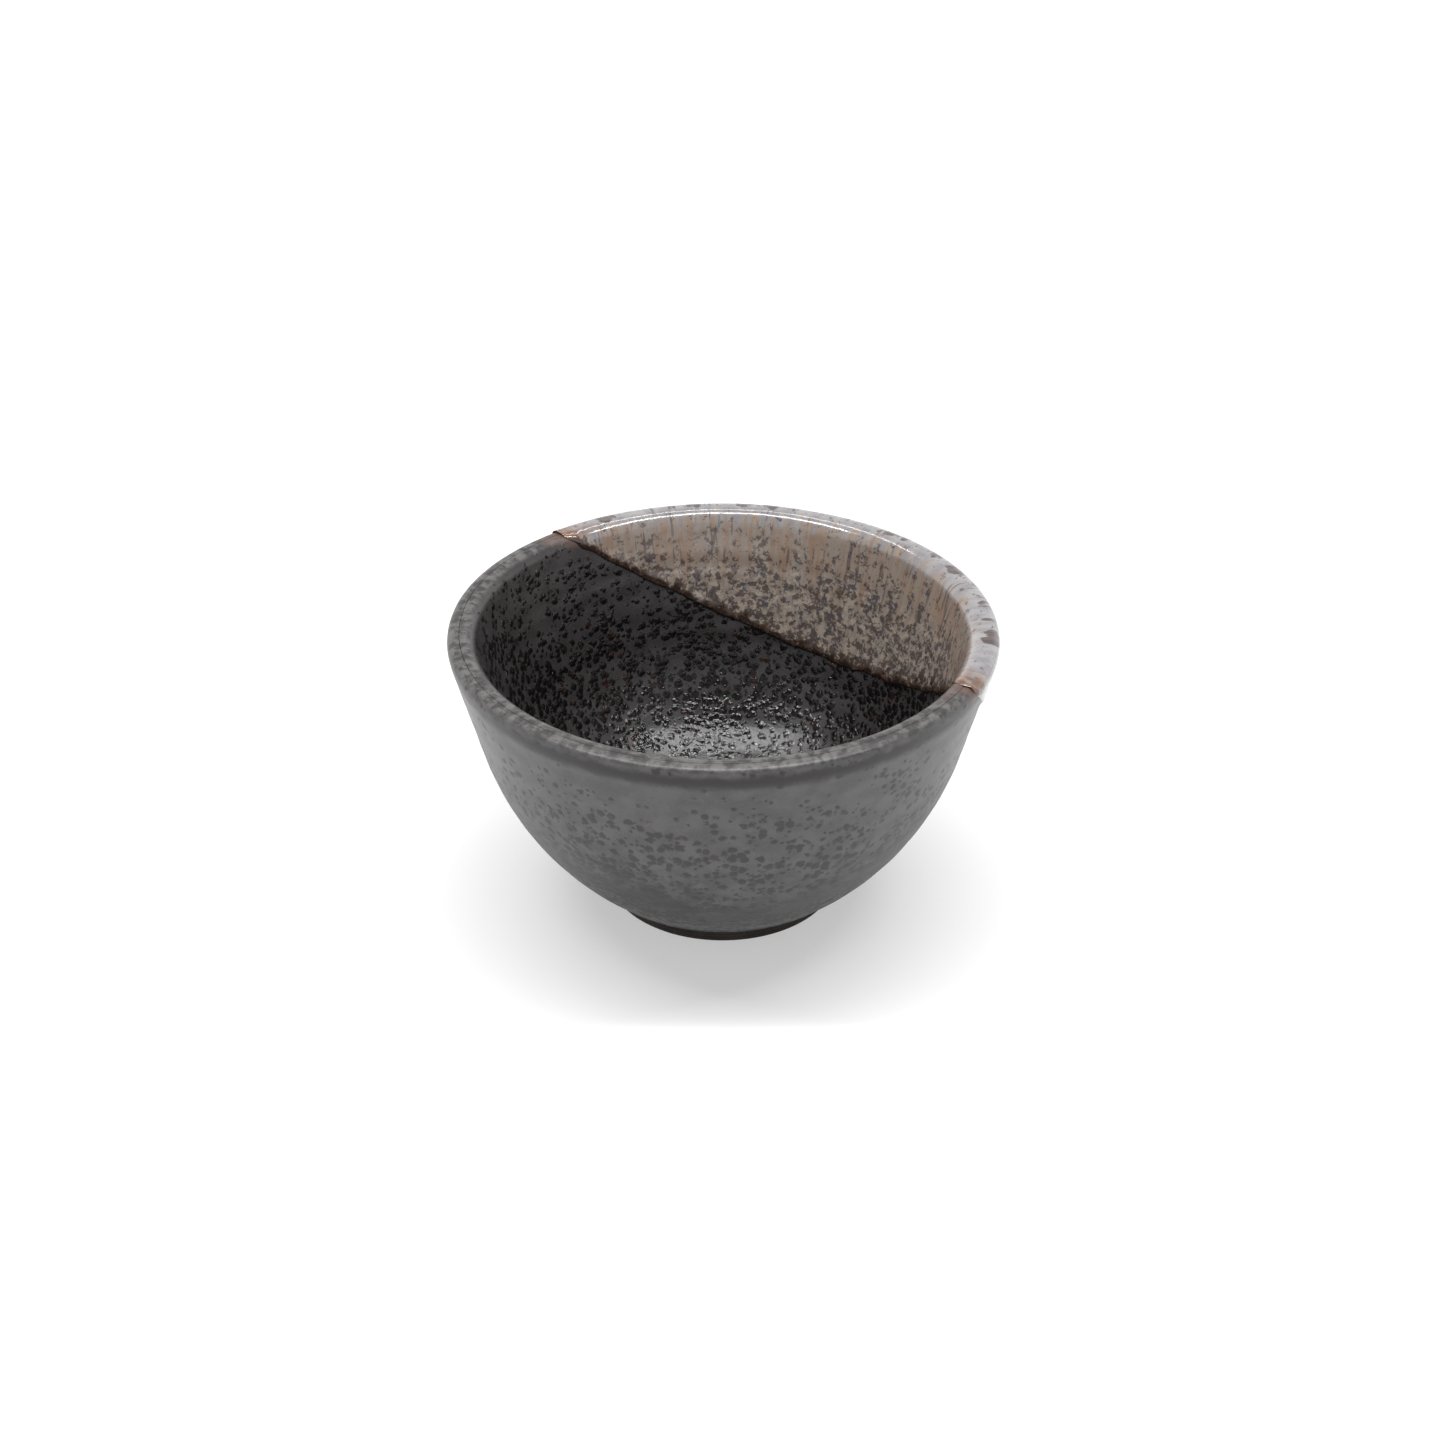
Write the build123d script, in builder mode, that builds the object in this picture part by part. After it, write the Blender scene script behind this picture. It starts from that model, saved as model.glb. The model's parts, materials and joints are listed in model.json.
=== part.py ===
"""A stoneware matcha bowl: a thrown clay body, a dark glaze coat and a cream coat where the bowl was dipped.

Millimetres. The origin is the centre of the face that the foot ring stands on, +Z points up out of the mouth,
and the bowl was dipped in the cream glaze towards +X +Y. Each half section is drawn right of the axis and
turned about Z.
"""

from build123d import *
import math
import os

# Overall sizes of the bowl with its dark glaze on
rim_radius = 60.0  # outside of the lip
bowl_height = 66.5  # from the table to the top of the lip

# Clay body
wall_thickness = 5.2  # at the lip and all the way down the straight wall
floor_thickness = 5.4  # under the middle of the bowl
wall_lean = 15.2  # degrees that the straight wall flares from upright
belly_radius = 68.4  # outside curve from the foot to the straight wall
well_radius = 36.0  # inside curve from the floor to the straight wall
lip_outer_radius = 1.5
lip_inner_radius = 2.5

# Foot ring, trimmed from the same clay
foot_radius = 26.0  # outside of the ring where it stands
foot_flare = 2.6  # how much wider the ring is at its top
foot_height = 5.0  # from the table to where the belly starts
foot_width = 4.5  # of the face that it stands on
foot_recess = 5.2  # depth of the hollow inside the ring
foot_recess_draft = 1.2  # how much narrower the hollow is at its roof
foot_crease_radius = 1.5  # between the ring and the belly
foot_recess_radius = 2.0  # between the hollow's side and its roof
foot_edge_radius = 0.6  # both edges of the face that it stands on

# Glaze coats
dark_glaze_thickness = 0.5
cream_glaze_thickness = 0.35
bare_height = 6.2  # the clay is bare from the table up to here
dip_tilt = 40.7  # degrees of the cream glaze's edge from level
dip_azimuth = 51.6  # degrees from +X, the side that went in deepest
dip_offset = 56.4  # from the origin to the plane of the edge, square to it

lean = math.radians(wall_lean)
clay_height = bowl_height - dark_glaze_thickness
floor_height = foot_recess + floor_thickness
foot_inner_radius = foot_radius - foot_width

# The outside wall would meet the flat of the lip in a corner, a little wider than the rounded lip itself
lip_rounding_loss = lip_outer_radius * (math.tan(lean) + 1 / math.cos(lean) - 1)
outer_rim = Vector(rim_radius - dark_glaze_thickness + lip_rounding_loss, clay_height)

# The inside wall is parallel to it and would meet the lip and the floor in corners too
inner_rim = Vector(outer_rim.X - wall_thickness / math.cos(lean), clay_height)
inner_corner = Vector(inner_rim.X - (clay_height - floor_height) * math.tan(lean), floor_height)

# The belly is a curve of one radius that leaves the top of the foot ring and runs smoothly into the straight
# wall. Its centre is found by going from the foot ring's top square out to the wall's line, then up along it.
out_of_wall = Vector(math.cos(lean), -math.sin(lean))
up_the_wall = Vector(math.sin(lean), math.cos(lean))
foot_top = Vector(foot_radius + foot_flare, foot_height)
foot_to_wall = (outer_rim - foot_top).dot(out_of_wall)
belly_rise = math.sqrt(belly_radius**2 - (belly_radius - foot_to_wall) ** 2)
belly_top = foot_top + out_of_wall * foot_to_wall + up_the_wall * belly_rise
belly_centre = belly_top - out_of_wall * belly_radius

# Both coats end square to the belly, where the clay's own surface is at the bare height
bare_drop = belly_centre.Y - bare_height
out_of_bare_edge = Vector(math.sqrt(belly_radius**2 - bare_drop**2), -bare_drop).normalized()
down_the_belly = out_of_bare_edge.rotate(Axis.Z, -90)


def belly_point(direction, growth):
    """Point of the belly, or of the glaze this thick on it, in this direction from the belly's centre."""
    return belly_centre + direction.normalized() * (belly_radius + growth)


def glazed_outline(growth):
    """Draws the glazed stretch of the clay, or of glaze this thick on it, from the floor to the bare edge."""
    outer_shift = growth * (math.tan(lean) + 1 / math.cos(lean))
    inner_shift = growth * (math.tan(lean) - 1 / math.cos(lean))
    FilletPolyline(
        (0, floor_height + growth),
        (inner_corner.X + inner_shift, floor_height + growth),
        (inner_rim.X + inner_shift, clay_height + growth),
        (outer_rim.X + outer_shift, clay_height + growth),
        belly_point(out_of_wall, growth),
        radius=[well_radius - growth, lip_inner_radius + growth, lip_outer_radius + growth],
    )
    Spline(
        belly_point(out_of_wall, growth),
        belly_point(out_of_wall + out_of_bare_edge, growth),
        belly_point(out_of_bare_edge, growth),
        tangents=[-up_the_wall, down_the_belly],
    )


def coat_outline(inside, outside):
    """Draws the closed outline of a coat that lies between two distances from the clay."""
    glazed_outline(inside)
    glazed_outline(outside)
    Line((0, floor_height + inside), (0, floor_height + outside))
    Line(belly_point(out_of_bare_edge, inside), belly_point(out_of_bare_edge, outside))


with BuildPart() as clay_body:
    with BuildSketch(Plane.XZ) as clay_section:
        with BuildLine():
            glazed_outline(0)
            TangentArc(belly_point(out_of_bare_edge, 0), foot_top, tangent=down_the_belly)
            FilletPolyline(
                foot_top,
                (foot_radius, 0),
                (foot_inner_radius, 0),
                (foot_inner_radius - foot_recess_draft, foot_recess),
                (0, foot_recess),
                radius=[foot_edge_radius, foot_edge_radius, foot_recess_radius],
            )
            Line((0, foot_recess), (0, floor_height))
        make_face()
        fillet(clay_section.vertices().sort_by_distance(foot_top)[0], foot_crease_radius)
    revolve(axis=Axis.Z)

with BuildPart() as dark_glaze:
    with BuildSketch(Plane.XZ):
        with BuildLine():
            coat_outline(0, dark_glaze_thickness)
        make_face()
    revolve(axis=Axis.Z)

# The cream coat lies over the dark one, only where the tilted bowl went under
dip_direction = Vector(0, 0, 1).rotate(Axis.Y, dip_tilt).rotate(Axis.Z, dip_azimuth)
with BuildPart() as cream_glaze:
    with BuildSketch(Plane.XZ):
        with BuildLine():
            coat_outline(dark_glaze_thickness, dark_glaze_thickness + cream_glaze_thickness)
        make_face()
    revolve(axis=Axis.Z)
    split(bisect_by=Plane(origin=dip_direction * dip_offset, z_dir=dip_direction), keep=Keep.TOP)

clay_body.part.label = "clay_body"
dark_glaze.part.label = "dark_glaze"
cream_glaze.part.label = "cream_glaze"

os.makedirs("parts", exist_ok=True)
for piece in (clay_body.part, dark_glaze.part, cream_glaze.part):
    export_step(piece, f"parts/{piece.label}.step")
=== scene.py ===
import json
import math

import bpy
import numpy as np
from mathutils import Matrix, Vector, noise

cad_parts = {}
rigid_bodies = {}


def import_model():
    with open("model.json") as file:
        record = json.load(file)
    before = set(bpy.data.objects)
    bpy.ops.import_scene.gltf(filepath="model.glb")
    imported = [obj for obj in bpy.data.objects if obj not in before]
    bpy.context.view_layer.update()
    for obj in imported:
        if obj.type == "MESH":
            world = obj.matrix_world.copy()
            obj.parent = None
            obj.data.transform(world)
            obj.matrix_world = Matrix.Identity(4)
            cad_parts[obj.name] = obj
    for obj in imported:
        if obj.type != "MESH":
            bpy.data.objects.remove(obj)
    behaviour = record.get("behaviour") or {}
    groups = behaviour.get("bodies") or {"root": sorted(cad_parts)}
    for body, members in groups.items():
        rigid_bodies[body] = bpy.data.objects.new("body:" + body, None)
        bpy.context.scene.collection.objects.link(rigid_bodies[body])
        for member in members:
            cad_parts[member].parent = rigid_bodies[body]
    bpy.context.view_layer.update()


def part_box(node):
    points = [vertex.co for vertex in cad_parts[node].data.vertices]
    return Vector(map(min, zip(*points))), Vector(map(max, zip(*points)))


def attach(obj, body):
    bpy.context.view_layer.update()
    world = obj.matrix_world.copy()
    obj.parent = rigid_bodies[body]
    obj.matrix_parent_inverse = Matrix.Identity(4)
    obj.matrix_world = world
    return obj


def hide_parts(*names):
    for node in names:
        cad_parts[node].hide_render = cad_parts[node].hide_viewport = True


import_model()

mm = 0.001


# the bowl's outline, in metres, from the foot's standing face up

bowl = {
    "wallLean": math.radians(15.2),  # how far the wall flares from upright
    "wallThickness": 5.2 * mm,
    "floorHeight": 10.6 * mm,        # of the clay, in the middle
    "bellyRadius": 68.4 * mm,        # outside curve
    "wellRadius": 36.0 * mm,         # inside curve
    "lipOuterRadius": 1.5 * mm,
    "lipInnerRadius": 2.5 * mm,
    "footRadius": 26.0 * mm,
    "footFlare": 2.6 * mm,
    "footHeight": 5.0 * mm,
    "footWidth": 4.5 * mm,
    "footCreaseRadius": 1.2 * mm,
    "footEdgeRadius": 0.6 * mm,
    "footRecess": 5.2 * mm,
    "footRecessDraft": 1.2 * mm,
    "footRecessRadius": 2.0 * mm,
    "bareHeight": 6.2 * mm,          # the clay is bare up to here
}

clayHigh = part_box("clay_body")[1]
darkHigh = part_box("dark_glaze")[1]
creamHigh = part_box("cream_glaze")[1]
rimRadius = max(darkHigh.x, darkHigh.y)
bowlHeight = darkHigh.z
darkThickness = darkHigh.z - clayHigh.z
creamThickness = creamHigh.z - darkHigh.z

lean = bowl["wallLean"]
clayHeight = bowlHeight - darkThickness
outOfWall = Vector((math.cos(lean), -math.sin(lean)))
upTheWall = Vector((math.sin(lean), math.cos(lean)))
lipLoss = bowl["lipOuterRadius"] * (math.tan(lean) + 1 / math.cos(lean) - 1)
outerRim = Vector((rimRadius - darkThickness + lipLoss, clayHeight))
innerRim = Vector((outerRim.x - bowl["wallThickness"] / math.cos(lean), clayHeight))
innerCorner = Vector((innerRim.x - (clayHeight - bowl["floorHeight"]) * math.tan(lean), bowl["floorHeight"]))
footTop = Vector((bowl["footRadius"] + bowl["footFlare"], bowl["footHeight"]))
footToWall = (outerRim - footTop).dot(outOfWall)
bellyRise = math.sqrt(bowl["bellyRadius"] ** 2 - (bowl["bellyRadius"] - footToWall) ** 2)
bellyTop = footTop + outOfWall * footToWall + upTheWall * bellyRise
bellyCentre = bellyTop - outOfWall * bowl["bellyRadius"]
bareAngle = -math.asin((bellyCentre.y - bowl["bareHeight"]) / bowl["bellyRadius"])
footAngle = math.atan2(footTop.y - bellyCentre.y, footTop.x - bellyCentre.x)


def arc(centre, radius, start, stop, step=0.1 * mm):
    count = max(6, math.ceil(abs(stop - start) * radius / step))
    angles = [start + (stop - start) * i / count for i in range(count + 1)]
    return [Vector((centre.x + radius * math.cos(a), centre.y + radius * math.sin(a))) for a in angles]


def rounded(before, corner, after, radius):
    # the arc that rounds one corner of a line
    back = (before - corner).normalized()
    on = (after - corner).normalized()
    half = back.angle(on) / 2
    centre = corner + (back + on).normalized() * radius / math.sin(half)
    start = corner + back * radius / math.tan(half) - centre
    stop = corner + on * radius / math.tan(half) - centre
    startAngle = math.atan2(start.y, start.x)
    turn = math.remainder(math.atan2(stop.y, stop.x) - startAngle, math.tau)
    return arc(centre, radius, startAngle, startAngle + turn)


def belly(growth, start, stop):
    return arc(bellyCentre, bowl["bellyRadius"] + growth, start, stop)


def glazedLine(growth):
    # from the middle of the floor, up the inside, over the lip and down to the bare edge
    outward = growth * (math.tan(lean) + 1 / math.cos(lean))
    inward = growth * (math.tan(lean) - 1 / math.cos(lean))
    middle = Vector((0, bowl["floorHeight"] + growth))
    floorCorner = Vector((innerCorner.x + inward, bowl["floorHeight"] + growth))
    rimInside = Vector((innerRim.x + inward, clayHeight + growth))
    rimOutside = Vector((outerRim.x + outward, clayHeight + growth))
    wallEnd = bellyTop + outOfWall * growth
    line = [middle]
    line += rounded(middle, floorCorner, rimInside, bowl["wellRadius"] - growth)
    line += rounded(floorCorner, rimInside, rimOutside, bowl["lipInnerRadius"] + growth)
    line += rounded(rimInside, rimOutside, wallEnd, bowl["lipOuterRadius"] + growth)
    line += belly(growth, -lean, bareAngle)
    return line


def footLine():
    # from the bare edge down round the foot ring, its recess, and in to the axis
    ringBottom = Vector((bowl["footRadius"], 0))
    ringInside = Vector((bowl["footRadius"] - bowl["footWidth"], 0))
    recessCorner = Vector((ringInside.x - bowl["footRecessDraft"], bowl["footRecess"]))
    recessMiddle = Vector((0, bowl["footRecess"]))
    bare = belly(0, bareAngle, footAngle)
    line = bare[:-3]
    line += rounded(bare[-4], footTop, ringBottom, bowl["footCreaseRadius"])
    line += rounded(footTop, ringBottom, ringInside, bowl["footEdgeRadius"])
    line += rounded(ringBottom, ringInside, recessCorner, bowl["footEdgeRadius"])
    line += rounded(ringInside, recessCorner, recessMiddle, bowl["footRecessRadius"])
    line += [recessMiddle]
    return line


def lengths(line):
    # the line's points, and how far along it each of them is
    points = np.array([tuple(p) for p in line])
    return points, np.concatenate([[0], np.cumsum(np.hypot(*np.diff(points, axis=0).T))])


def spread(line, count, crowd=np.ones_like):
    # the line again with evenly spaced points, closer together where crowd is high
    points, along = lengths(line)
    fine = np.linspace(0, along[-1], 4000)
    weight = crowd(fine)
    total = np.concatenate([[0], np.cumsum((weight[1:] + weight[:-1]) / 2)])
    at = np.interp(np.linspace(0, total[-1], count + 1), total, fine)
    return np.stack([np.interp(at, along, points[:, 0]), np.interp(at, along, points[:, 1])], 1), at


def normalsOf(points):
    # left of the direction of travel, which is out of the clay on the glazed line
    way = np.gradient(points, axis=0)
    way /= np.maximum(np.hypot(way[:, 0], way[:, 1]), 1e-12)[:, None]
    return np.stack([-way[:, 1], way[:, 0]], 1)


# the potter's hand: every coat follows the same slight unevenness

hand = {
    "lipWave": 0.11 * mm,     # how much the lip rises and falls
    "oval": 0.0011,           # how far the mouth is from round
    "ringDepth": 0.045 * mm,  # throwing rings
    "ringPitch": 6.5 * mm,
}


def handMade(places):
    # places is an array of points; the higher up the bowl, the more they wander
    x, y, z = places.T
    angle = np.arctan2(y, x)
    up = np.clip(z / bowlHeight, 0, 1) ** 2
    swell = 1 + up * hand["oval"] * (np.cos(2 * angle + 0.8) + 0.4 * np.cos(3 * angle - 0.5))
    wave = np.sin(2 * angle + 1.9) + 0.5 * np.sin(5 * angle) + 0.3 * np.sin(9 * angle + 1)
    return np.stack([x * swell, y * swell, z + up**2 * hand["lipWave"] * (wave - 1)], 1)


def ringWave(at):
    drift = 0.6 * np.sin(at / (2.3 * hand["ringPitch"]) * math.tau)
    return hand["ringDepth"] * np.sin(at / hand["ringPitch"] * math.tau + drift)


def softNoise(places, size, octaves=2):
    return np.array([noise.fractal(Vector(p) / size, 1.0, 2.0, octaves) for p in places.tolist()])


# turned surfaces: one row of points for each angle round the bowl, in the order of the line


def around(count):
    return np.arange(count) / count * math.tau


def swung(radius, height, angles):
    return np.stack([radius * np.cos(angles)[:, None], radius * np.sin(angles)[:, None], height], 2)


def turned(points, angles, offsets):
    # the line swung round to each angle, and moved out along its normals
    normals = normalsOf(points)
    radius = np.maximum(points[None, :, 0] + offsets * normals[None, :, 0], 0)
    height = points[None, :, 1] + offsets * normals[None, :, 1]
    return swung(radius, height, angles)


def pinch(places, columns, column):
    # draws one ring of points together on the axis
    places[column::columns] = places[column::columns].mean(0)


def gridFaces(rows, columns, wrap):
    a = np.arange(rows if wrap else rows - 1)[:, None] * columns
    b = (np.arange(1, rows + 1) % rows if wrap else np.arange(1, rows))[:, None] * columns
    k = np.arange(columns - 1)[None, :]
    return np.stack([a + k, b + k, b + k + 1, a + k + 1], 2).reshape(-1, 4)[:, ::-1]


def polarMap(angles, distance):
    # lays a turned surface out flat as a disc, seen from the mouth, with no seam
    share = 0.5 * distance[None, :] / (distance.max() * 1.02)
    u = 0.5 + share * np.cos(angles)[:, None]
    v = 0.5 + share * np.sin(angles)[:, None]
    return np.stack([u, v], 2).reshape(-1, 2)


def flowPlaces(angles, at):
    # the glazed surface unrolled onto a cylinder, so that runs and streaks follow the wall
    cylinder = 55 * mm
    at = np.broadcast_to(at, (len(angles), at.shape[-1]))
    across = np.stack([np.cos(angles), np.sin(angles)], 1) * cylinder
    return np.column_stack([np.repeat(across, at.shape[1], 0), at.ravel()])


def makePiece(name, node, places, faces, attributes, uv):
    mesh = bpy.data.meshes.new(name)
    mesh.from_pydata(places.tolist(), [], faces.tolist())
    for label, values in attributes.items():
        kind, field = ("FLOAT", "value") if values.ndim == 1 else ("FLOAT_VECTOR", "vector")
        layer = mesh.attributes.new(label, kind, "POINT")
        layer.data.foreach_set(field, values.astype(np.float32).ravel())
    if uv is not None:
        corners = np.empty(len(mesh.loops), dtype=np.int32)
        mesh.loops.foreach_get("vertex_index", corners)
        layer = mesh.uv_layers.new(name="OFBake")
        layer.data.foreach_set("uv", uv[corners].astype(np.float32).ravel())
    mesh.shade_smooth()
    mesh.validate()
    mesh.update()
    piece = bpy.data.objects.new(name, mesh)
    bpy.context.scene.collection.objects.link(piece)
    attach(piece, "root")
    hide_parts(node)
    return piece


# stations along the glazed line, measured from the middle of the floor
darkLine = glazedLine(darkThickness)
darkPoints, darkAlong = lengths(darkLine)
lipFlat = np.isclose(darkPoints[:, 1], darkPoints[:, 1].max(), atol=1e-7)
lipMiddle = float(darkAlong[lipFlat].mean())
outerEdge = float(darkAlong[np.argmax(darkPoints[:, 0])] + 0.2 * mm)
innerEdge = float(darkAlong[lipFlat].min() - 2.2 * mm)
lineEnd = float(darkAlong[-1])
print("outline:", len(darkLine), "points,", round(lineEnd / mm, 1), "mm, lip at", round(lipMiddle / mm, 1))


darkCoat = {
    "columns": 440,
    "insideRows": 216,
    "outsideRows": 190,
    "ripple": 0.035 * mm,      # slow rise and fall of the fired surface
    "pebble": 0.012 * mm,      # finer unevenness
    "thinLip": 0.12 * mm,      # how much thinner it is where it pulled off the lip's outer corner
    "edgeBead": 0.16 * mm,     # it rolls up a little above the bare clay
    "edgeCurl": 0.45 * mm,     # width of the stretch that curls down onto the clay
    "edgeSink": 0.08 * mm,     # how far that goes into the clay
    "edgeWander": 0.35 * mm,   # the bare edge isn't quite level
    "edgeSlope": 0.9,          # of the belly there, from level, in radians
    "mapHole": 28 * mm,        # left open in the middle of the outside's flat map
}


def darkOffset(places, at):
    # how far the dark glaze's real surface stands from its even one
    slow = softNoise(places, 9 * mm) * darkCoat["ripple"]
    fine = softNoise(places, 2.2 * mm, 1) * darkCoat["pebble"]
    rings = ringWave(at) * np.clip((lipMiddle - 4 * mm - at) / (10 * mm), -0.5, 1)
    thin = darkCoat["thinLip"] * np.exp(-(((at - outerEdge) / (1.0 * mm)) ** 2))
    return slow + fine + rings - thin


def darkSurface(points, at, angles, extra=0):
    # the finished surface, with extra glaze on it where extra is more than nought
    even = turned(points, angles, np.zeros((len(angles), len(at)))).reshape(-1, 3)
    offset = darkOffset(even, np.tile(at, len(angles))).reshape(len(angles), len(at)) + extra
    return handMade(turned(points, angles, offset).reshape(-1, 3))


def crowdLip(at):
    return 1 + 2.2 * np.exp(-(((at - lipMiddle) / (4.5 * mm)) ** 2))


def makeDarkPiece(name, places, angles, at, uv):
    faces = gridFaces(len(angles), len(at), True)
    attributes = {"flow": flowPlaces(angles, at), "station": np.tile(at, len(angles))}
    return makePiece(name, "dark_glaze", places, faces, attributes, uv)


def makeDarkInside():
    points, at = spread(darkLine, 900, crowdLip)
    points, at = spread(points[at <= lipMiddle], darkCoat["insideRows"], crowdLip)
    angles = around(darkCoat["columns"])
    places = darkSurface(points, at, angles)
    pinch(places, len(at), 0)
    return makeDarkPiece("darkGlazeInside", places, angles, at, polarMap(angles, at))


def makeDarkOutside():
    points, at = spread(darkLine, 3000)
    outer = points[at >= lipMiddle]
    points, near = spread(outer, darkCoat["outsideRows"], lambda a: crowdLip(a + lipMiddle))
    at = near + lipMiddle
    angles = around(darkCoat["columns"])
    fromEnd = (lineEnd - at)[None, :]
    bead = darkCoat["edgeBead"] * np.exp(-(((fromEnd - 0.7 * mm) / (0.7 * mm)) ** 2))
    curled = np.clip(1 - fromEnd / darkCoat["edgeCurl"], 0, 1) ** 2
    places = darkSurface(points, at, angles, bead - curled * (darkThickness + darkCoat["edgeSink"]))
    stray = np.array([noise.noise(Vector((math.cos(a), math.sin(a), 3)) * 3.1) for a in angles])
    stray = stray[:, None] * darkCoat["edgeWander"] * np.clip(1 - fromEnd / (6 * mm), 0, 1)
    slope = darkCoat["edgeSlope"]
    places += swung(stray * math.sin(slope), stray * math.cos(slope), angles).reshape(-1, 3)
    uv = polarMap(angles, darkCoat["mapHole"] + (lineEnd - at))
    return makeDarkPiece("darkGlazeOutside", places, angles, at, uv)


darkInside = makeDarkInside()
darkOutside = makeDarkOutside()
print("dark glaze:", len(darkInside.data.polygons), "faces inside,",
      len(darkOutside.data.polygons), "outside")


creamCoat = {
    "columns": 520,
    "rows": 180,
    "tilt": math.radians(40.7),     # of its edge from level
    "azimuth": math.radians(51.6),  # the side that went in deepest
    "offset": 56.4 * mm,            # from the origin to the plane of its edge
    "leastDepth": 0.35 * mm,        # the coat ends where even the lip went in less than this
    "wander": 0.55 * mm,            # how far the edge strays from that plane
    "roll": 1.3 * mm,               # width of its rounded edge
    "bead": 0.10 * mm,              # extra thickness just behind the edge
    "tuck": 0.045 * mm,             # the very edge sinks this far into the dark coat
    "melt": 0.025 * mm,             # ridges where it ran down
}

dipWay = Vector((
    math.sin(creamCoat["tilt"]) * math.cos(creamCoat["azimuth"]),
    math.sin(creamCoat["tilt"]) * math.sin(creamCoat["azimuth"]),
    math.cos(creamCoat["tilt"]),
))


def ringAt(points, angle):
    # the line at one angle, and how deep each point of it went into the cream glaze
    ring = turned(points, np.array([angle]), 0).reshape(-1, 3)
    return ring, ring @ np.array(dipWay) - creamCoat["offset"]


def dipSweep(points):
    # the angles at which any of the lip went under, closer together towards both ends
    trial = np.linspace(-math.pi, math.pi, 721)
    deepest = np.array([ringAt(points[::8], angle)[1].max() for angle in trial])
    under = trial[deepest > creamCoat["leastDepth"]]
    middle = (under.min() + under.max()) / 2
    half = (under.max() - under.min()) / 2
    sweep = np.linspace(-1, 1, creamCoat["columns"])
    return middle + half * (0.35 * np.sin(sweep * math.pi / 2) + 0.65 * sweep)


def wetStretch(points, at, angle):
    # where along the line the coat starts and stops at this angle
    ring, depth = ringAt(points, angle)
    near = np.nonzero(depth > -1.2 * mm)[0]
    depth[near] += softNoise(ring[near], 7 * mm, 3) * creamCoat["wander"]
    wet = np.nonzero(depth > 0)[0]
    wet = wet[wet > 4]
    if len(wet) == 0:
        wet = [int(np.argmax(depth))]
    return at[wet[0]], at[wet[-1]]


def makeCreamGlaze():
    points, at = spread(darkLine, 1400)
    angles = dipSweep(points)
    starts, stops = np.array([wetStretch(points, at, angle) for angle in angles]).T[:, :, None]
    share = np.linspace(0, 1, creamCoat["rows"] + 1)
    share = 0.5 - 0.225 * np.cos(share * math.pi) - 0.275 * (1 - 2 * share)  # closer at both edges
    station = starts + (stops - starts) * share
    run = station.ravel()

    # the dark coat's even surface under it, and the way out of it
    radius, height = (np.interp(station, at, side) for side in points.T)
    outward, upward = (np.interp(station, at, side) for side in normalsOf(points).T)
    even = swung(radius, height, angles).reshape(-1, 3)
    normals = swung(outward, upward, angles).reshape(-1, 3)

    # how far each point is from the edge, which closes in towards both ends of the sweep too
    insideSlope = np.gradient(starts[:, 0], angles * 52 * mm)[:, None]
    outsideSlope = np.gradient(stops[:, 0], angles * 58 * mm)[:, None]
    fromStart = (station - starts) / np.sqrt(1 + insideSlope**2)
    fromStop = (stops - station) / np.sqrt(1 + outsideSlope**2)
    fromEdge = np.maximum(np.minimum(fromStart, fromStop), 0).ravel()

    roll = np.clip(fromEdge / creamCoat["roll"], 0, 1)
    thick = creamThickness * np.sqrt(np.clip(1 - (1 - roll) ** 2, 0, 1))
    thick += creamCoat["bead"] * np.exp(-(((fromEdge - 1.3 * mm) / (1.1 * mm)) ** 2))
    thick -= creamCoat["tuck"] * (fromEdge < 0.02 * mm)
    flow = flowPlaces(angles, station)
    ridge = softNoise(flow * np.array([1, 1, 0.22]), 1.9 * mm, 2) * creamCoat["melt"]
    ridge *= np.clip(fromEdge / (3 * mm), 0, 1)
    rise = darkOffset(even, run) * 0.8 + thick + ridge
    places = handMade(even + normals * rise[:, None])
    faces = gridFaces(len(angles), share.size, False)
    across = np.repeat((angles - angles[0]) / (angles[-1] - angles[0]), share.size)
    along = (run - starts.min()) / (stops.max() - starts.min())
    uv = 0.01 + 0.98 * np.stack([across, along], 1)
    attributes = {"flow": flow, "station": run, "fromEdge": fromEdge}
    return makePiece("creamGlaze", "cream_glaze", places, faces, attributes, uv)


creamGlaze = makeCreamGlaze()
print("cream glaze:", len(creamGlaze.data.polygons), "faces")


clayForm = {
    "columns": 300,
    "hiddenRows": 70,        # under the dark glaze
    "footRows": 150,
    "toolMark": 0.05 * mm,   # rings left by the trimming tool
    "markPitch": 1.35 * mm,
    "grit": 0.018 * mm,
    "unevenness": 0.04 * mm,
}


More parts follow.
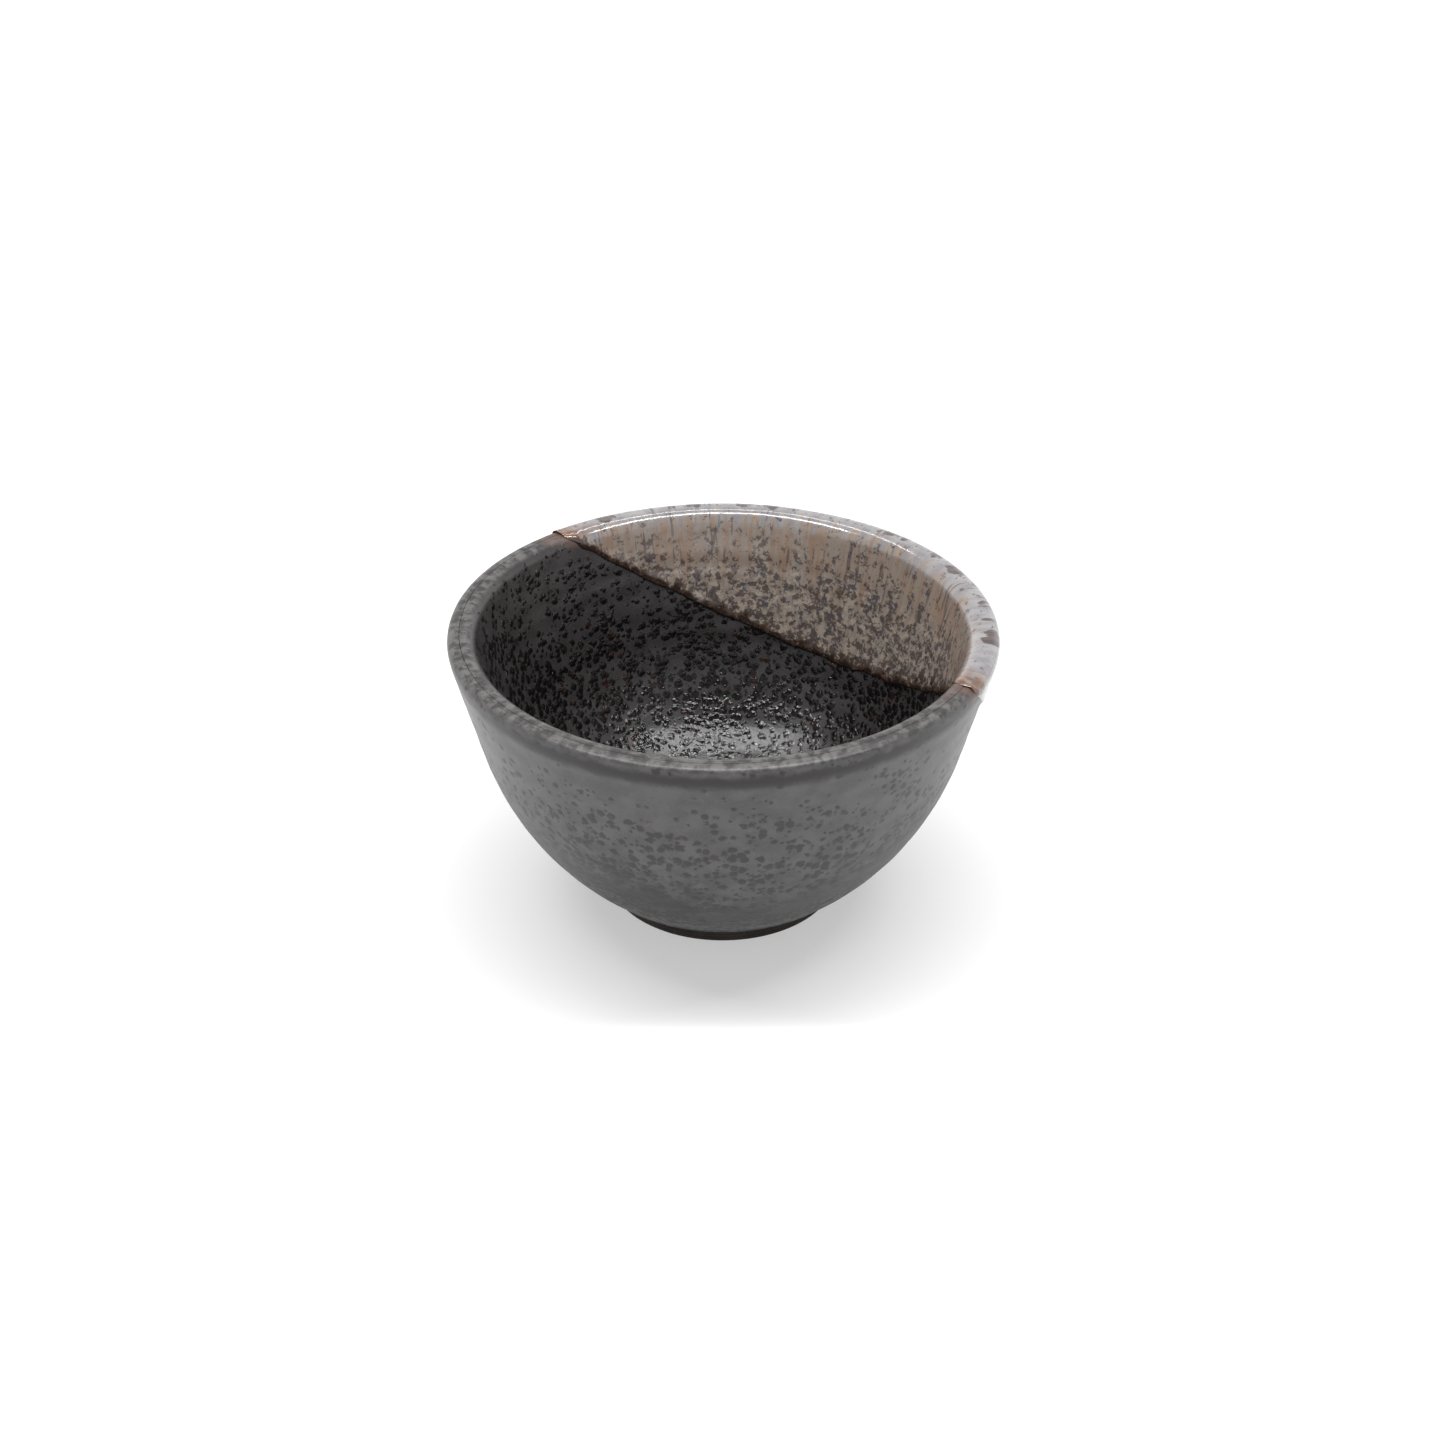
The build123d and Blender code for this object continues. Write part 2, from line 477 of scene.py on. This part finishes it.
def makeClayBody():
    glazed = glazedLine(0)
    glazedLength = lengths(glazed)[1][-1]
    hidden, _ = spread(glazed, clayForm["hiddenRows"], lambda a: 1 + 2 * (a > glazedLength - 4 * mm))
    foot, _ = spread(footLine(), clayForm["footRows"])
    points, at = lengths(np.concatenate([hidden, foot[1:]]))
    angles = around(clayForm["columns"])
    even = turned(points, angles, np.zeros((len(angles), len(points)))).reshape(-1, 3)
    run = np.tile(at, len(angles))

    # the tool's mark winds round as a spiral, and the face that it stands on is left flat
    spiral = run + np.repeat(angles, len(points)) / math.tau * clayForm["markPitch"]
    mark = clayForm["toolMark"] * (np.sin(spiral / clayForm["markPitch"] * math.tau) - 1)
    grit = softNoise(even, 0.9 * mm, 2) * clayForm["grit"]
    grit += softNoise(even, 5 * mm, 1) * clayForm["unevenness"]
    standing = np.exp(-((even[:, 2] / (0.35 * mm)) ** 2)) * (np.hypot(even[:, 0], even[:, 1]) > 18 * mm)
    showing = np.clip((run - at[len(hidden) - 1] + 1 * mm) / (1 * mm), 0, 1)
    offset = (mark + grit) * (1 - standing) * showing
    places = handMade(turned(points, angles, offset.reshape(len(angles), -1)).reshape(-1, 3))
    pinch(places, len(points), 0)
    pinch(places, len(points), len(points) - 1)
    faces = gridFaces(len(angles), len(points), True)
    return makePiece("clayBody", "clay_body", places, faces, {}, None)


clayBody = makeClayBody()
print("clay body:", len(clayBody.data.polygons), "faces")


# a glaze recipe is a tree of nodes, and these put nodes into it


def newRecipe(name):
    material = bpy.data.materials.new(name)
    material.use_nodes = True
    material.node_tree.nodes.clear()
    return material


def put(recipe, kind, inputs=None, **settings):
    tree = recipe.node_tree
    node = tree.nodes.new("ShaderNode" + kind)
    for key, value in settings.items():
        setattr(node, key, value)
    for key, value in (inputs or {}).items():
        if isinstance(value, bpy.types.NodeSocket):
            tree.links.new(value, node.inputs[key])
        else:
            node.inputs[key].default_value = value
    return node


def onPiece(recipe):
    return put(recipe, "TexCoord").outputs["Object"]


def reading(recipe, name, output="Fac"):
    return put(recipe, "Attribute", attribute_name=name).outputs[output]


def maths(recipe, operation, a, b=0.0):
    return put(recipe, "Math", {0: a, 1: b}, operation=operation).outputs[0]


def plus(recipe, a, b):
    return maths(recipe, "ADD", a, b)


def minus(recipe, a, b):
    return maths(recipe, "SUBTRACT", a, b)


def times(recipe, a, b):
    return maths(recipe, "MULTIPLY", a, b)


def awayFrom(recipe, value, middle):
    return maths(recipe, "ABSOLUTE", minus(recipe, value, middle))


def measured(recipe, operation, a, b):
    return put(recipe, "VectorMath", {0: a, 1: b}, operation=operation).outputs["Value"]


def moved(recipe, operation, a, b):
    return put(recipe, "VectorMath", {0: a, 1: b}, operation=operation).outputs["Vector"]


def cloud(recipe, where, size, detail=2.0, rough=0.5):
    inputs = {"Vector": where, "Scale": 1 / size, "Detail": detail, "Roughness": rough}
    return put(recipe, "TexNoise", inputs).outputs["Fac"]


def wandering(recipe, where, size, reach):
    # the same places, each pushed about by up to the reach
    inputs = {"Vector": where, "Scale": 1 / size, "Detail": 2.0}
    push = moved(recipe, "SUBTRACT", put(recipe, "TexNoise", inputs).outputs["Color"], (0.5, 0.5, 0.5))
    push = moved(recipe, "MULTIPLY", push, (2 * reach, 2 * reach, 2 * reach))
    return moved(recipe, "ADD", where, push)


def stretched(recipe, flow, amount):
    # a pattern laid on this runs down the wall in streaks
    return moved(recipe, "MULTIPLY", flow, (1, 1, amount))


def ramped(recipe, value, low, high, a=0.0, b=1.0):
    # a where the value is low, b where it is high, and smooth between
    inputs = {0: value, 1: low, 2: high, 3: a, 4: b}
    return put(recipe, "MapRange", inputs, interpolation_type="SMOOTHSTEP", clamp=True).outputs[0]


def straight(recipe, value, low, high, a=0.0, b=1.0):
    return put(recipe, "MapRange", {0: value, 1: low, 2: high, 3: a, 4: b}, clamp=True).outputs[0]


def swaying(recipe, value, sway, a, b):
    # the value, carried off towards a or b by the sway of a cloud
    return plus(recipe, value, straight(recipe, sway, 0.3, 0.7, a, b))


def tinted(recipe, amount, under, over):
    return put(recipe, "Mix", {0: amount, 6: under, 7: over}, data_type="RGBA").outputs[2]


def blended(recipe, amount, under, over):
    return put(recipe, "Mix", {0: amount, 2: under, 3: over}).outputs[0]


def bumped(recipe, height, depth, strength, under=None):
    inputs = {"Height": height, "Distance": depth, "Strength": strength}
    if under is not None:
        inputs["Normal"] = under
    return put(recipe, "Bump", inputs).outputs["Normal"]


def fired(recipe, inputs):
    shader = put(recipe, "BsdfPrincipled", inputs)
    put(recipe, "OutputMaterial", {"Surface": shader.outputs[0]})
    return recipe


def shade(colour, factor):
    return tuple(c * factor for c in colour[:3]) + (1,)


def cellsOf(recipe, where, size):
    # how far each place is from its cell's middle, and a number that the cell draws
    cells = put(recipe, "TexVoronoi", {"Vector": where, "Scale": 1 / size})
    lot = put(recipe, "SeparateColor", {0: cells.outputs["Color"]}).outputs[0]
    return cells.outputs["Distance"], lot


def spotField(recipe, where, size, density):
    # above nought inside a spot: a higher density gives more of them, and larger, until they run together
    distance, lot = cellsOf(recipe, where, size)
    spare = minus(recipe, density, lot)
    there = straight(recipe, spare, -0.02, 0.0, -0.5, 0.0)
    reach = plus(recipe, straight(recipe, spare, 0.0, 0.38, 0.30, 0.57), there)
    return minus(recipe, reach, distance)


darkRecipe = {
    "spot": (0.0045, 0.0032, 0.0036, 1),
    "rust": (0.024, 0.010, 0.007, 1),
    "lipDark": (0.020, 0.017, 0.017, 1),
    "lipPaleAndSheen": (0.112, 0.104, 0.102, 1),
    "lipBreak": (0.006, 0.003, 0.003, 1),
    "lipRust": (0.095, 0.050, 0.034, 1),
    "smallSpotSize": 1.20 * mm,
    "smokedPlace": (-0.017, -0.040, 0.021),  # where the outside fired darker
    "smokedReach": 17 * mm,
    "satin": (0.27, 0.34),                   # roughness, least and most
    "lipRoughness": 0.40,
    "specular": 0.52,
}

insideLook = {
    # painted shade: this ground is darker than the outside's, partly for a thicker, blacker glaze inside and
    # partly for the shade inside the bowl's hollow
    "ground": (0.0345, 0.0314, 0.0327, 1),
    "scarce": (66 * mm, 0.42),               # at this height, this few spots
    "crowded": (36 * mm, 0.98),
    "clearing": -0.18,
    "fade": (innerEdge - 2 * mm, innerEdge + 1 * mm, 0.25),
    "spotSize": 1.78 * mm,
    "spotSoftness": 0.04,
    "spotStrength": 1.0,
    "spotRoughness": 0.10,
    "grainDepth": 0.06 * mm,
    "pebbleDepth": 0.10 * mm,
    "spotDepth": 0.18 * mm,
}

outsideLook = {
    "ground": (0.059, 0.0565, 0.0572, 1),
    "scarce": (60 * mm, 0.16),
    "crowded": (34 * mm, 0.76),
    "clearing": -0.20,
    "fade": (lineEnd - 6 * mm, lineEnd, 0.6),
    "spotSize": 1.9224 * mm,
    "spotSoftness": 0.16,
    "spotStrength": 0.78,
    "spotRoughness": 0.42,
    "grainDepth": 0.015 * mm,
    "pebbleDepth": 0.04 * mm,
    "spotDepth": 0.03 * mm,
}


def darkGlaze(name, look):
    recipe = newRecipe(name)
    outside = look is outsideLook
    place = onPiece(recipe)
    station = reading(recipe, "station")
    flow = reading(recipe, "flow", "Vector")
    height = put(recipe, "SeparateXYZ", {0: place}).outputs["Z"]
    grain = cloud(recipe, place, 0.24 * mm, 2, 0.6)
    cloudy = cloud(recipe, place, 5 * mm, 3)

    # spots are scarce near the lip and crowd together towards the floor or the foot
    scarceHeight, scarce = look["scarce"]
    crowdedHeight, crowded = look["crowded"]
    fadeStart, fadeStop, faded = look["fade"]
    fill = straight(recipe, height, scarceHeight, crowdedHeight, scarce, crowded)
    patch = cloud(recipe, place, 12 * mm, 2)
    fill = plus(recipe, fill, ramped(recipe, patch, 0.38, 0.62, look["clearing"], 0.16))
    fill = times(recipe, fill, ramped(recipe, station, fadeStart, fadeStop, 1.0, faded))
    where = wandering(recipe, place, 0.9 * mm, 0.38 * mm)
    large = spotField(recipe, where, look["spotSize"], fill)
    aside = moved(recipe, "ADD", where, (0.031, 0.017, 0.023))
    small = spotField(recipe, aside, darkRecipe["smallSpotSize"], times(recipe, fill, 0.50))
    field = maths(recipe, "MAXIMUM", large, small)
    field = swaying(recipe, field, cloud(recipe, place, 0.55 * mm, 1), -0.07, 0.07)
    spots = ramped(recipe, field, -look["spotSoftness"], look["spotSoftness"])

    # the ground is a charcoal satin, finely pebbled
    ground = look["ground"]
    colour = tinted(recipe, ramped(recipe, cloudy, 0.36, 0.64), shade(ground, 0.78), shade(ground, 1.2))
    colour = tinted(recipe, ramped(recipe, grain, 0.42, 0.68, 0.0, 0.35), colour, shade(ground, 1.8))
    if outside:
        far = measured(recipe, "DISTANCE", place, darkRecipe["smokedPlace"])
        far = swaying(recipe, far, cloudy, -6 * mm, 6 * mm)
        reach = darkRecipe["smokedReach"]
        smoked = ramped(recipe, far, reach * 1.2, reach * 0.3, 0.0, 0.8)
        colour = tinted(recipe, smoked, colour, shade(ground, 0.33))
    toasted = ramped(recipe, cloud(recipe, place, 3.2 * mm, 1), 0.61, 0.70)
    spotColour = tinted(recipe, toasted, darkRecipe["spot"], darkRecipe["rust"])
    colour = tinted(recipe, times(recipe, spots, look["spotStrength"]), colour, spotColour)
    if outside:
        # painted shade: the outside is darkened towards the foot, standing in for the contact shadow under
        # the bowl
        lower = ramped(recipe, height, 32 * mm, 7 * mm, 0.0, 0.78)
        colour = tinted(recipe, lower, colour, shade(ground, 0.35))

    # mottled over the flat of the lip; its pale flecks are partly real and partly a painted reflection of
    # the white surroundings on the lip's top
    mottle = cloud(recipe, flow, 2.0 * mm, 3, 0.62)
    onLip = ramped(recipe, awayFrom(recipe, station, lipMiddle), 3.2 * mm, 1.6 * mm)
    lipFleck = ramped(recipe, mottle, 0.40, 0.62)
    lipTone = tinted(recipe, lipFleck, darkRecipe["lipDark"], darkRecipe["lipPaleAndSheen"])
    colour = tinted(recipe, times(recipe, onLip, 0.85), colour, lipTone)

    # where the glaze pulled thin below the lip's outer corner, the clay shows brown
    broken = straight(recipe, cloud(recipe, flow, 3.4 * mm, 3, 0.6), 0.32, 0.68, -0.35 * mm, 0.45 * mm)
    pastCorner = plus(recipe, minus(recipe, station, outerEdge), broken)
    inBand = ramped(recipe, pastCorner, 4.0 * mm, 1.6 * mm)
    inBand = times(recipe, inBand, ramped(recipe, pastCorner, -1.1 * mm, 0.4 * mm))
    colour = tinted(recipe, inBand, colour, darkRecipe["lipBreak"])

    # where the cream glaze stops, the lip fired to rust on this side too
    fromDip = minus(recipe, creamCoat["offset"], measured(recipe, "DOT_PRODUCT", place, tuple(dipWay)))
    fromDip = swaying(recipe, fromDip, cloudy, -2.5 * mm, 2.5 * mm)
    rusty = ramped(recipe, fromDip, 4.0 * mm, 0.5 * mm, 0.0, 0.7)
    rusty = times(recipe, rusty, ramped(recipe, height, bowlHeight - 4 * mm, bowlHeight - 1.5 * mm))
    colour = tinted(recipe, rusty, colour, darkRecipe["lipRust"])

    # brown again where the coat ends above the bare clay
    lastBit = ramped(recipe, station, lineEnd - 4.0 * mm, lineEnd - 0.3 * mm)
    colour = tinted(recipe, lastBit, colour, darkRecipe["lipBreak"])

    rough = ramped(recipe, grain, 0.35, 0.7, *darkRecipe["satin"])
    if outside:
        rough = plus(recipe, rough, ramped(recipe, height, 50 * mm, 10 * mm, 0.07, 0.32))
    rough = blended(recipe, times(recipe, spots, 0.9), rough, look["spotRoughness"])
    rough = blended(recipe, onLip, rough, darkRecipe["lipRoughness"])
    normal = bumped(recipe, grain, look["grainDepth"], 0.5)
    normal = bumped(recipe, cloud(recipe, place, 0.8 * mm, 2), look["pebbleDepth"], 0.5, normal)
    normal = bumped(recipe, ramped(recipe, field, -0.06, 0.48), look["spotDepth"], 0.8, normal)
    return fired(recipe, {
        "Base Color": colour,
        "Roughness": rough,
        "Normal": normal,
        "IOR": 1.5,
        "Specular IOR Level": darkRecipe["specular"],
    })


creamRecipe = {
    "cream": (0.268, 0.224, 0.185, 1),
    "tan": (0.264, 0.180, 0.131, 1),
    "ash": (0.275, 0.246, 0.222, 1),
    "chalk": (0.430, 0.360, 0.295, 1),
    "lilac": (0.218, 0.208, 0.220, 1),
    "pearl": (0.275, 0.263, 0.265, 1),
    "violet": (0.066, 0.044, 0.040, 1),
    "blueBlack": (0.045, 0.044, 0.060, 1),
    "umber": (0.027, 0.013, 0.008, 1),
    "rust": (0.17, 0.09, 0.055, 1),
    "fringe": (0.012, 0.007, 0.006, 1),
    "blotchSize": 1.6 * mm,
    "bandDepth": 2.3 * mm,   # of the brown band along its edge
    "gloss": (0.13, 0.22),   # roughness, least and most
    "coat": 0.4,
    "coatRoughness": 0.05,
}


def creamGlazeFinish():
    recipe = newRecipe("creamGlaze")
    cream, tan, ash, chalk = (creamRecipe[key] for key in ("cream", "tan", "ash", "chalk"))
    lilac, pearl, violet = (creamRecipe[key] for key in ("lilac", "pearl", "violet"))
    blueBlack, umber, rust = (creamRecipe[key] for key in ("blueBlack", "umber", "rust"))
    band = creamRecipe["bandDepth"]
    place = onPiece(recipe)
    flow = reading(recipe, "flow", "Vector")
    station = reading(recipe, "station")
    fromEdge = reading(recipe, "fromEdge")
    fromLip = minus(recipe, innerEdge, station)        # how far down the inside
    downOutside = minus(recipe, station, lipMiddle)
    shortDown = stretched(recipe, flow, 0.5)
    down = stretched(recipe, flow, 0.22)
    longDown = stretched(recipe, flow, 0.10)
    runs = cloud(recipe, longDown, 1.3 * mm, 3, 0.6)
    washy = cloud(recipe, down, 5 * mm, 3)
    mottle = cloud(recipe, place, 1.3 * mm, 3, 0.6)
    drift = cloud(recipe, down, 3.5 * mm, 2)
    low = swaying(recipe, fromLip, drift, -5 * mm, 5 * mm)

    # peach and cream under the lip, in soft runs, and lower down mottled ash
    body = tinted(recipe, ramped(recipe, runs, 0.42, 0.60), tan, cream)
    body = tinted(recipe, ramped(recipe, washy, 0.48, 0.62, 0, 0.4), body, ash)
    ashy = tinted(recipe, ramped(recipe, mottle, 0.42, 0.60), ash, chalk)
    body = tinted(recipe, ramped(recipe, low, 8 * mm, 17 * mm, 0, 0.75), body, ashy)

    # the lip and the outside fired pale, and the pale runs down a little way
    ragged = swaying(recipe, station, cloud(recipe, down, 1.4 * mm, 3, 0.6), -3.0 * mm, 3.0 * mm)
    onLip = ramped(recipe, ragged, innerEdge - 2.2 * mm, innerEdge + 0.8 * mm)
    pale = cloud(recipe, shortDown, 2.4 * mm, 3)
    lipTone = tinted(recipe, ramped(recipe, pale, 0.38, 0.62), lilac, pearl)
    body = tinted(recipe, onLip, body, lipTone)

    # down the outside it turns to cream in long soft runs
    wall = tinted(recipe, ramped(recipe, runs, 0.40, 0.62), lilac, cream)
    outsideRun = swaying(recipe, downOutside, drift, -5 * mm, 5 * mm)
    body = tinted(recipe, ramped(recipe, outsideRun, 7 * mm, 20 * mm, 0, 0.8), body, wall)

    # brown and violet patches that broke on the lip
    patch = cloud(recipe, shortDown, 5.0 * mm, 3, 0.62)
    offTop = awayFrom(recipe, station, lipMiddle + 0.9 * mm)
    patch = plus(recipe, patch, ramped(recipe, offTop, 0.8 * mm, 4.0 * mm, 0.0, -0.22))
    patchTone = tinted(recipe, ramped(recipe, runs, 0.45, 0.55), violet, umber)
    body = tinted(recipe, times(recipe, ramped(recipe, patch, 0.505, 0.565), 0.85), body, patchTone)

    # and dark runs below them
    streak = cloud(recipe, longDown, 1.0 * mm, 3, 0.55)
    dashes = cloud(recipe, down, 2.4 * mm, 2)
    streak = plus(recipe, streak, ramped(recipe, dashes, 0.42, 0.62, -0.12, 0.05))
    offRuns = awayFrom(recipe, fromLip, 5 * mm)
    streak = plus(recipe, streak, straight(recipe, offRuns, 3 * mm, 14 * mm, 0.0, -0.14))
    streakTone = tinted(recipe, ramped(recipe, washy, 0.45, 0.55), blueBlack, violet)
    body = tinted(recipe, times(recipe, ramped(recipe, streak, 0.55, 0.64), 0.65), body, streakTone)

    # the dark coat's spots bleed through in blotches, more of them lower down, closing up at the edge
    lobes = swaying(recipe, fromEdge, cloud(recipe, place, 2.2 * mm, 3, 0.6), 1.8 * mm, -1.8 * mm)
    nearEdge = ramped(recipe, lobes, band + 2.2 * mm, band * 0.4)
    fill = straight(recipe, low, 3 * mm, 15 * mm, 0.06, 0.60)
    fill = plus(recipe, fill, ramped(recipe, washy, 0.40, 0.60, -0.12, 0.12))
    fill = times(recipe, fill, ramped(recipe, fromLip, -1 * mm, 3 * mm, 0.0, 1))
    fill = plus(recipe, fill, straight(recipe, downOutside, 6 * mm, 30 * mm, 0.0, 0.5))
    fill = plus(recipe, fill, times(recipe, nearEdge, 0.55))
    where = wandering(recipe, place, 0.8 * mm, 0.60 * mm)
    blotch = spotField(recipe, where, creamRecipe["blotchSize"], fill)
    torn = cloud(recipe, where, creamRecipe["blotchSize"] * 1.1, 4, 0.68)
    smear = times(recipe, minus(recipe, torn, straight(recipe, fill, 0.0, 1.0, 0.62, 0.44)), 3.0)
    field = maths(recipe, "MAXIMUM", times(recipe, blotch, 0.8), smear)
    field = swaying(recipe, field, cloud(recipe, place, 0.5 * mm, 2), -0.16, 0.16)
    bleed = ramped(recipe, field, -0.13, 0.20)
    bleedCloud = cloud(recipe, place, 2.2 * mm, 2)
    bleedTone = tinted(recipe, ramped(recipe, bleedCloud, 0.50, 0.62), violet, blueBlack)
    bleedTone = tinted(recipe, nearEdge, bleedTone, umber)
    body = tinted(recipe, times(recipe, bleed, 0.86), body, bleedTone)

    # its edge: umber and rust, then near black where it is thinnest over the dark coat
    body = tinted(recipe, ramped(recipe, lobes, band, 0.7 * mm, 0, 0.95), body, umber)
    warm = ramped(recipe, cloud(recipe, place, 1.6 * mm, 2), 0.50, 0.62, 0, 0.5)
    rusty = ramped(recipe, awayFrom(recipe, lobes, 1.0 * mm), 0.8 * mm, 0.1 * mm)
    body = tinted(recipe, times(recipe, warm, rusty), body, rust)
    acrossLip = ramped(recipe, awayFrom(recipe, station, lipMiddle), 4.5 * mm, 2.0 * mm)
    lipRust = times(recipe, acrossLip, ramped(recipe, lobes, 7.5 * mm, 1.5 * mm, 0, 0.8))
    body = tinted(recipe, lipRust, body, rust)
    fringe = times(recipe, ramped(recipe, fromEdge, 0.55 * mm, 0.1 * mm), minus(recipe, 1.0, acrossLip))
    body = tinted(recipe, fringe, body, creamRecipe["fringe"])

    normal = bumped(recipe, cloud(recipe, place, 1.5 * mm, 2), 0.10 * mm, 0.35)
    normal = bumped(recipe, bleed, 0.05 * mm, -0.4, normal)
    return fired(recipe, {
        "Base Color": body,
        "Roughness": ramped(recipe, mottle, 0.35, 0.65, *creamRecipe["gloss"]),
        "Normal": normal,
        "IOR": 1.52,
        "Coat Weight": creamRecipe["coat"],
        "Coat Roughness": creamRecipe["coatRoughness"],
    })


clayRecipe = {
    "brown": (0.017, 0.012, 0.010, 1),
    "toasted": (0.034, 0.022, 0.016, 1),
    "soot": (0.008, 0.006, 0.0055, 1),
    "grog": (0.085, 0.064, 0.048, 1),
    "grogSize": 1.3 * mm,    # of the cells, with at most one grain in each
    "roughness": (0.74, 0.9),
    "specular": 0.25,
}


def bareClay():
    recipe = newRecipe("bareClay")
    place = onPiece(recipe)
    cloudy = cloud(recipe, place, 7 * mm, 4, 0.6)
    fine = cloud(recipe, place, 0.35 * mm, 3, 0.65)
    colour = tinted(recipe, ramped(recipe, cloudy, 0.40, 0.62), clayRecipe["soot"], clayRecipe["brown"])
    colour = tinted(recipe, ramped(recipe, fine, 0.48, 0.70, 0, 0.7), colour, clayRecipe["toasted"])
    distance, lot = cellsOf(recipe, place, clayRecipe["grogSize"])
    grog = times(recipe, ramped(recipe, distance, 0.22, 0.12), ramped(recipe, lot, 0.80, 0.86))
    colour = tinted(recipe, times(recipe, grog, 0.6), colour, clayRecipe["grog"])
    normal = bumped(recipe, cloud(recipe, place, 0.6 * mm, 3, 0.7), 0.12 * mm, 0.6)
    normal = bumped(recipe, grog, 0.05 * mm, 0.8, normal)
    return fired(recipe, {
        "Base Color": colour,
        "Roughness": ramped(recipe, fine, 0.35, 0.65, *clayRecipe["roughness"]),
        "Normal": normal,
        "IOR": 1.45,
        "Specular IOR Level": clayRecipe["specular"],
    })


darkInside.data.materials.append(darkGlaze("darkGlazeInside", insideLook))
darkOutside.data.materials.append(darkGlaze("darkGlazeOutside", outsideLook))
creamGlaze.data.materials.append(creamGlazeFinish())
clayBody.data.materials.append(bareClay())
print("glazes mixed:", len(bpy.data.materials))


# floor, light and camera

studio = {
    "floorReach": 4.0,
    "floorColour": (0.56, 0.56, 0.56, 1),
    "floorGlow": 0.41,        # a light table, which keeps the shadow faint
    "skyAtHorizon": 1.2,
    "skyOverhead": 0.03,
    "skyFade": (0.25, 0.80),  # between these heights on a ball of one metre
    "backStrip": {"place": (0.0, 0.62, 1.10), "size": (1.3, 0.06), "power": 4.9},
    "frontStrip": {"place": (0.0, -0.08, 1.10), "size": (1.5, 0.08), "power": 16.5},
}

shot = {
    "lens": 63.08,
    "elevation": math.radians(31.19),
    "distance": 0.565,
    "target": (0, 0, 0.04115),
}


def makeFloor():
    mesh = bpy.data.meshes.new("floor")
    reach = studio["floorReach"]
    corners = [(-reach, -reach, 0), (reach, -reach, 0), (reach, reach, 0), (-reach, reach, 0)]
    mesh.from_pydata(corners, [], [(0, 1, 2, 3)])
    floor = bpy.data.objects.new("floor", mesh)
    bpy.context.scene.collection.objects.link(floor)
    mesh.materials.append(fired(newRecipe("paperFloor"), {
        "Base Color": studio["floorColour"],
        "Roughness": 0.9,
        "Specular IOR Level": 0.1,
        "Emission Color": (1, 1, 1, 1),
        "Emission Strength": studio["floorGlow"],
    }))


def aim(thing, target):
    thing.rotation_euler = (Vector(target) - thing.location).to_track_quat("-Z", "Y").to_euler()


def makeLamp(name):
    values = studio[name]
    light = bpy.data.lights.new(name, "AREA")
    light.shape = "RECTANGLE"
    light.size, light.size_y = values["size"]
    light.energy = values["power"]
    lamp = bpy.data.objects.new(name, light)
    lamp.location = values["place"]
    bpy.context.scene.collection.objects.link(lamp)
    aim(lamp, (0, 0, bowlHeight))


def makeSky():
    # a white tent, brightest round its sides
    world = bpy.data.worlds.new("studioSky")
    world.use_nodes = True
    way = put(world, "TexCoord").outputs["Generated"]
    up = put(world, "SeparateXYZ", {0: way}).outputs["Z"]
    strength = straight(world, up, *studio["skyFade"], studio["skyAtHorizon"], studio["skyOverhead"])
    background = world.node_tree.nodes["Background"]
    background.inputs["Color"].default_value = (1, 1, 1, 1)
    world.node_tree.links.new(strength, background.inputs["Strength"])
    bpy.context.scene.world = world


def makeCamera():
    camera = bpy.data.objects.new("camera", bpy.data.cameras.new("camera"))
    camera.data.sensor_width = 36
    camera.data.lens = shot["lens"]
    camera.data.clip_start = 0.01
    target = Vector(shot["target"])
    away = Vector((0, -math.cos(shot["elevation"]), math.sin(shot["elevation"])))
    camera.location = target + away * shot["distance"]
    bpy.context.scene.collection.objects.link(camera)
    aim(camera, target)
    bpy.context.scene.camera = camera


makeFloor()
makeSky()
makeLamp("backStrip")
makeLamp("frontStrip")
makeCamera()
bpy.context.scene.view_settings.view_transform = "Standard"
print("studio: ready")
